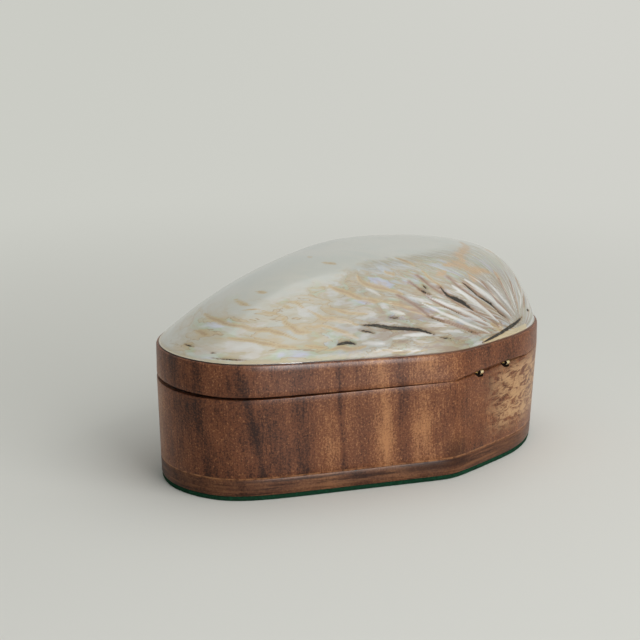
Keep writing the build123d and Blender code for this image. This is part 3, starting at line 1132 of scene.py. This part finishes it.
class KEEPSAKE_OT_felts(bpy.types.Operator):
    """Model the felt under the base and the felt lining"""

    bl_idname = "keepsake.felts"
    bl_label = "Felts"

    def execute(self, context):
        """Cuts both felts a little unevenly."""
        sizes, look = settings(context)
        bearings = crowded_bearings(720, middle=30, share=0.2, spread=0.9)
        low, high = (drafted_row(sizes, bearings, z, FELT_SETBACK) for z in (0.0, sizes.felt))
        base = start_slab("Base_Felt", bearings, low, high, reach=0.3 * MM, rings=3)
        inset = sizes.wall + LINING_CLEARANCE
        radius = outline_radius(sizes, bearings, inset, HINGE_WALL_EXTRA)
        foot = sizes.board_top
        low, high = (row_at(bearings, radius, z) for z in (foot, foot + sizes.lining))
        lining = start_slab("Compartment_Lining", bearings, low, high, reach=0.4 * MM, rings=10)
        felt = shared("Matted_Felt", felt_material, look)
        for piece, uneven, cad_node in (
            (base, 0.22 * MM, "base_felt"),
            (lining, 0.2 * MM, "compartment_lining"),
        ):
            roughen(piece, uneven)
            finish_piece(piece, 60, "box", "green_felt", felt, cad_node)
        return {"FINISHED"}


class KEEPSAKE_OT_shell_bedding(bpy.types.Operator):
    """Model the resin bed under the shell"""

    bl_idname = "keepsake.shell_bedding"
    bl_label = "Shell Bedding"

    def execute(self, context):
        """Places the bed's section all round, with a slightly uneven outer edge."""
        sizes, look = settings(context)
        bearings = crowded_bearings(420, middle=60, share=0.2, spread=0.9)
        wave = [noise.noise(Vector((math.cos(b) * 9, math.sin(b) * 9, 2.0))) for b in bearings]
        outer = outline_radius(sizes, bearings, sizes.shell_setback, sharpest=RIM_SHARPNESS)
        outer = outer - BEDDING_UNEVEN * (1 + np.array(wave))
        inner = outline_radius(sizes, bearings, sizes.shell_setback + sizes.margin_width)
        top = sizes.seam + sizes.lid_frame
        foot = top - sizes.bedding
        lines = ((outer, foot), (outer, top), (inner, top), (inner, foot))
        corners = [margin_row(bearings, radius, level) for radius, level in lines]
        reaches = (0.1 * MM,) * len(corners)
        piece = start_ring("Shell_Bedding", bearings, corners, reaches, steps=(2, 3, 2, 3))
        resin = shared("Bedding_Resin", resin_material, look)
        finish_piece(piece, 40, "lid", "dark_resin", resin, "shell_bedding")
        return {"FINISHED"}


class KEEPSAKE_OT_pearl_shell(bpy.types.Operator):
    """Model the polished shell of the lid"""

    bl_idname = "keepsake.pearl_shell"
    bl_label = "Pearl Shell"

    spokes = 560
    outer_rings = 130
    inner_rings = 18

    def execute(self, context):
        """Places the dome outside and inside, then presses the marks into its outside."""
        sizes, look = settings(context)
        bearings = crowded_bearings(self.spokes, middle=90, share=0.62, spread=0.95)
        shares = 1 - np.linspace(0, 1, self.outer_rings + 1)[:-1] ** 1.6
        outer = [dome_point(sizes, bearings, share) for share in shares]
        inner_shares = np.sin(np.linspace(0, 1, self.inner_rings + 1)[1:] * math.pi / 2)
        inner = [dome_point(sizes, bearings, share, inner=True) for share in inner_shares]
        foot = dome_point(sizes, np.zeros(1), np.zeros(1), inner=True)[0]
        top = dome_point(sizes, np.zeros(1), np.zeros(1))[0]
        piece = start_ball("Pearl_Shell", bearings, inner + outer, foot, top)
        self.press_marks(piece.data, sizes, bearings, shares, np.stack(outer))
        nacre = shared("Polished_Nacre", nacre_material, look)
        finish_piece(piece, 50, "lid", "mother_of_pearl", nacre, "pearl_shell")
        return {"FINISHED"}

    def press_marks(self, mesh, sizes, bearings, shares, table):
        """Presses slits, valleys and soft swells inwards, and keeps their masks for the material."""
        points, normals = read_points(mesh), read_points(mesh, "normal")
        bearing_of, share_of, outside = places(points, table, bearings, shares)
        turn = wrapped(bearing_of)
        round_of = np.arctan2(points[:, 1], points[:, 0])
        reach_of = np.hypot(points[:, 0], points[:, 1]) / outline_radius(sizes, round_of)
        across, along = growth_lines(
            np.where(outside, turn, np.degrees(round_of)), np.where(outside, share_of, reach_of)
        )
        noise.seed_set(SWAY_SEED)
        wobble = np.array([noise.noise_vector(Vector(p) / MM * 0.22) for p in points])
        swayed = points + wobble * STREAK_SWAY
        slit, depth = slit_marks(sizes, points)
        valley, valley_depth = soft_marks(sizes, points, VALLEYS, narrow=True)
        tan, tan_depth = soft_marks(sizes, swayed, TAN_STREAKS)
        orange, orange_depth = soft_marks(sizes, swayed, ORANGE_PATCHES)
        # The crest mask places painted highlights; its depth is not used
        crest, _ = soft_marks(sizes, points, HIGHLIGHT_CRESTS)
        # The side that faces the hinges is streaked from nearer the summit on, and more deeply
        facing = np.cos(bearing_of - math.radians(60))
        onset = 0.34 + 0.26 * ramp(turn, 40, -10)
        lively = ramp(share_of, onset, onset + 0.25) * ramp(facing, -0.45, 0.55)
        beak = ramp(along, 1.15, 0.15) * ramp(facing, -0.6, 0.4)
        edge = (1 - share_of) * outline_radius(sizes, bearing_of)
        depth = depth + valley_depth + tan_depth + orange_depth
        depth = depth + lively * swells(across, along) * (0.42 + 0.4 * beak) * MM
        depth = depth * ramp(edge, 0, EDGE_KEPT) + ramp(edge, BEVEL_WIDTH, 0) * BEVEL_DEPTH
        depth[~outside] = 0
        moved = points - normals * depth[:, None]
        floor = sizes.seam + sizes.lid_frame + MARGIN_SLOPE * moved[:, 0]
        moved[:, 2] = np.where(outside, np.maximum(moved[:, 2], floor), moved[:, 2])
        write_points(mesh, moved)
        # A tan rim at the far end, and a cream sliver under the last slit by the beak
        rim = ramp(edge / MM, 1.76, 0.66) * (0.12 + 0.88 * np.exp(-((turn / 60) ** 2)))
        sliver = ramp(share_of, 0.984, 0.99) * ramp(turn, 104, 107) * ramp(turn, 136, 133)
        lively[~outside] = LIVELY_INSIDE
        slit[~outside] = -SLIT_MASK_REACH
        for name, values in (
            ("growth", (across, along, share_of)),
            ("highlight_and_sliver_marks", (crest * outside, sliver * outside, np.zeros(len(points)))),
            ("dark_marks", (slit, valley * outside, lively)),
            ("warm_marks", (tan * outside, orange * outside, rim * outside)),
        ):
            layer = mesh.attributes.new(name, "FLOAT_VECTOR", "POINT")
            layer.data.foreach_set("vector", np.stack(values, axis=-1).ravel())


class KEEPSAKE_OT_hinges(bpy.types.Operator):
    """Dress the brass barrel hinges"""

    bl_idname = "keepsake.hinges"
    bl_label = "Hinges"

    def execute(self, context):
        """Gives the barrels and pins their brass."""
        brass = shared("Turned_Brass", brass_material, context.scene.keepsake_look)
        for hinge in HINGES:
            for part in ("body_barrel", "lid_barrel", "pin"):
                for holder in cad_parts[hinge + "_" + part].material_slots:
                    holder.link = "OBJECT"
                    holder.material = brass
        return {"FINISHED"}


class KEEPSAKE_OT_stage(bpy.types.Operator):
    """Set the floor, the lights and the camera"""

    bl_idname = "keepsake.stage"
    bl_label = "Stage"

    def execute(self, context):
        """Lays the floor, hangs the soft boxes and points the camera."""
        deselect()
        bpy.ops.mesh.primitive_plane_add(size=8, location=(0, 0, 0))
        floor = context.object
        floor.name = "Floor"
        material = shared("Pale_Floor", floor_material, context.scene.keepsake_look)
        floor.data.materials.append(material)
        for lamp in LAMPS:
            self.soft_box(context, *lamp)
        world = bpy.data.worlds.new("Soft Studio")
        world.use_nodes = True
        tree = world.node_tree
        sky = tree.nodes["Background"]
        plug(tree, sky.inputs["Color"], srgb(206, 207, 203))
        plug(tree, sky.inputs["Strength"], seen_directly(tree) * 0.5 + 0.5)
        context.scene.world = world
        lens = bpy.data.cameras.new("Camera")
        lens.lens, lens.sensor_width = LENS_MM, SENSOR_MM
        eye = self.hung(context, "Camera", lens, EYE_PLACE, Vector(EYE_AIM))
        context.scene.camera = eye
        context.scene.view_settings.view_transform = "Standard"
        return {"FINISHED"}

    def hung(self, context, name, data, place, aim):
        """Adds a lamp or a camera at a place and turns it the way that it aims."""
        thing = bpy.data.objects.new(name, data)
        thing.location = place
        thing.rotation_euler = aim.to_track_quat("-Z", "Y").to_euler()
        context.scene.collection.objects.link(thing)
        return thing

    def soft_box(self, context, name, place, target_height, size, watts, hidden_from):
        """Hangs an area light of a width and a height that faces a spot over the middle."""
        lamp = bpy.data.lights.new(name, "AREA")
        lamp.shape = "RECTANGLE"
        lamp.size, lamp.size_y = size
        lamp.energy = watts
        aim = Vector((0, 0, target_height)) - Vector(place)
        box = self.hung(context, name, lamp, place, aim)
        box.visible_glossy = hidden_from != "gloss"
        box.visible_diffuse = hidden_from != "diffuse"


class KEEPSAKE_PT_panel(bpy.types.Panel):
    """Lists the pieces of the box and their sizes."""

    bl_idname = "KEEPSAKE_PT_panel"
    bl_label = "Keepsake Box"
    bl_space_type = "VIEW_3D"
    bl_region_type = "UI"
    bl_category = "Keepsake Box"

    def draw(self, context):
        """Draws the sizes, the colours and one button for each group of pieces."""
        for group in (context.scene.keepsake_sizes, context.scene.keepsake_look):
            column = self.layout.column()
            for name in group.bl_rna.properties.keys():
                if name not in ("rna_type", "name"):
                    column.prop(group, name)
        for operator in OPERATORS:
            self.layout.operator(operator.bl_idname)


OPERATORS = (
    KEEPSAKE_OT_felts,
    KEEPSAKE_OT_bottom_board,
    KEEPSAKE_OT_body_wall,
    KEEPSAKE_OT_lid_frame,
    KEEPSAKE_OT_shell_bedding,
    KEEPSAKE_OT_pearl_shell,
    KEEPSAKE_OT_hinges,
    KEEPSAKE_OT_stage,
)
CLASSES = (KeepsakeBoxSizes, KeepsakeBoxLook, *OPERATORS, KEEPSAKE_PT_panel)


def register():
    """Registers the classes and the two groups of properties."""
    for item in CLASSES:
        bpy.utils.register_class(item)
    bpy.types.Scene.keepsake_sizes = bpy.props.PointerProperty(type=KeepsakeBoxSizes)
    bpy.types.Scene.keepsake_look = bpy.props.PointerProperty(type=KeepsakeBoxLook)


def unregister():
    """Removes what register added."""
    del bpy.types.Scene.keepsake_look
    del bpy.types.Scene.keepsake_sizes
    for item in reversed(CLASSES):
        bpy.utils.unregister_class(item)


def main():
    """Registers the add-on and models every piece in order."""
    register()
    for operator in OPERATORS:
        family, name = operator.bl_idname.split(".")
        getattr(getattr(bpy.ops, family), name)()


if __name__ == "__main__":
    main()
